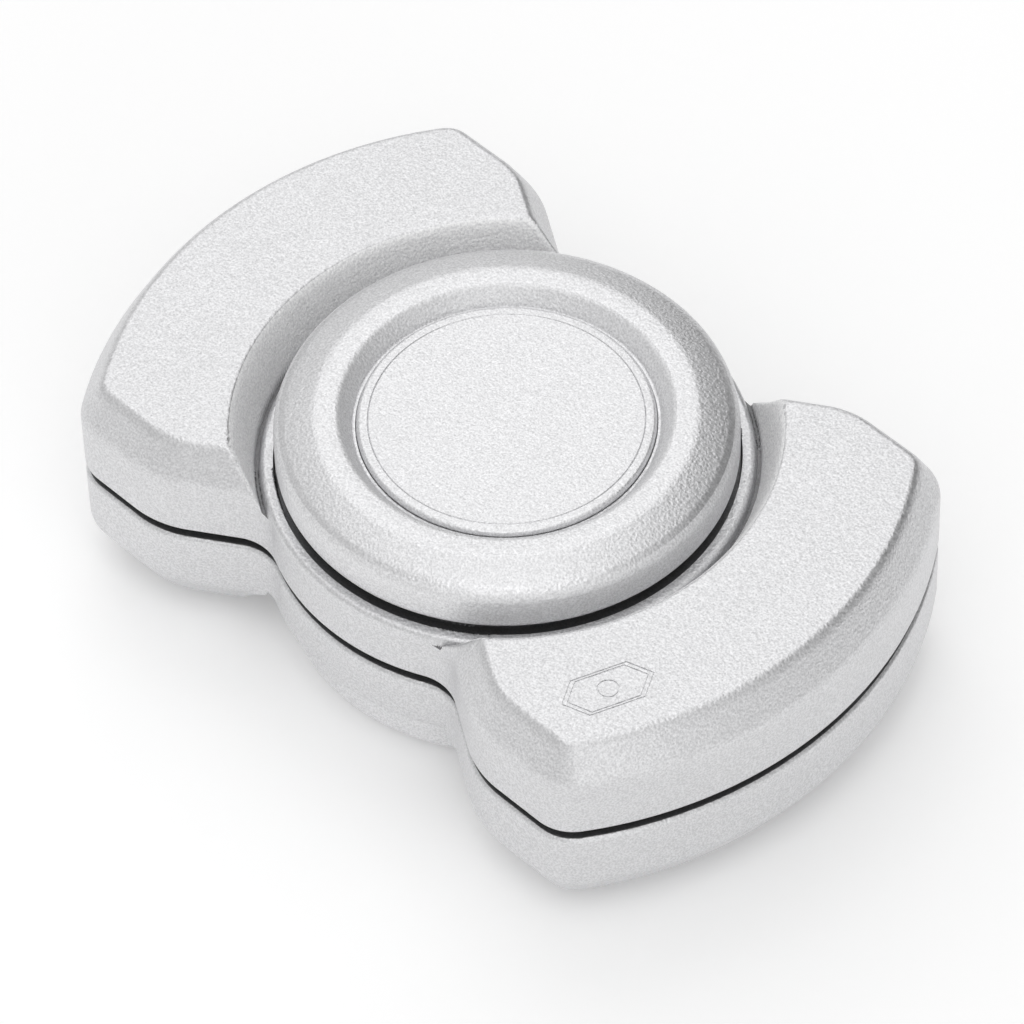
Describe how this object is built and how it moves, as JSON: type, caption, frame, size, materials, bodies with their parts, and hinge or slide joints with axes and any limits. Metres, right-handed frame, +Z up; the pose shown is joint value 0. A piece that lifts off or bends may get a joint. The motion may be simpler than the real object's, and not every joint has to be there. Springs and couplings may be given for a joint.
{
  "type": "fidget spinner",
  "caption": "Bow-tie pocket spinner in bead-blasted metal: a split body turns on a ball bearing between two dished round thumb buttons.",
  "frame": {"origin": "on the spin axis, in the plane that the lower thumb button rests on", "axes": "+Z up along the spin axis towards the upper button, +X along the body through one lobe, +Y across the body"},
  "size_m": [0.0504, 0.0318, 0.016],
  "materials": {
    "body_metal": "bead-blasted, fine even sparkle, pale silver",
    "button_metal": "turned, then bead-blasted, pale silver",
    "bearing_steel": "ground and polished",
    "screw_steel": "plain machined",
    "shim_brass": "rolled sheet",
    "cage_plastic": "moulded, dark brown"
  },
  "bodies": {
    "hub": {"upper_button": "button_metal", "upper_button_disc": "button_metal", "upper_button_screw": "screw_steel", "upper_shim": "shim_brass", "lower_button": "button_metal", "lower_button_disc": "button_metal", "lower_button_screw": "screw_steel", "lower_shim": "shim_brass", "axle_sleeve": "screw_steel", "bearing_inner_ring": "bearing_steel"},
    "rotor": {"upper_plate": "body_metal", "lower_plate": "body_metal", "plate_screw_1": "screw_steel", "plate_screw_2": "screw_steel", "plate_screw_3": "screw_steel", "plate_screw_4": "screw_steel", "locating_pin_left": "bearing_steel", "locating_pin_right": "bearing_steel", "bearing_outer_ring": "bearing_steel"},
    "ball_set": {"bearing_cage": "cage_plastic", "bearing_ball_01": "bearing_steel", "bearing_ball_02": "bearing_steel", "bearing_ball_03": "bearing_steel", "bearing_ball_04": "bearing_steel", "bearing_ball_05": "bearing_steel", "bearing_ball_06": "bearing_steel", "bearing_ball_07": "bearing_steel", "bearing_ball_08": "bearing_steel", "bearing_ball_09": "bearing_steel", "bearing_ball_10": "bearing_steel"}
  },
  "joints": [
    {"name": "body_spin", "type": "hinge", "parent": "hub", "child": "rotor", "pos_m": [0, 0, 0.008], "axis": [0, 0, 1], "continuous": true},
    {"name": "ball_set_spin", "type": "hinge", "parent": "hub", "child": "ball_set", "pos_m": [0, 0, 0.008], "axis": [0, 0, 1], "continuous": true}
  ],
  "couplings": [
    {"joint": "ball_set_spin", "follows": "body_spin", "ratio": 0.5834}
  ]
}
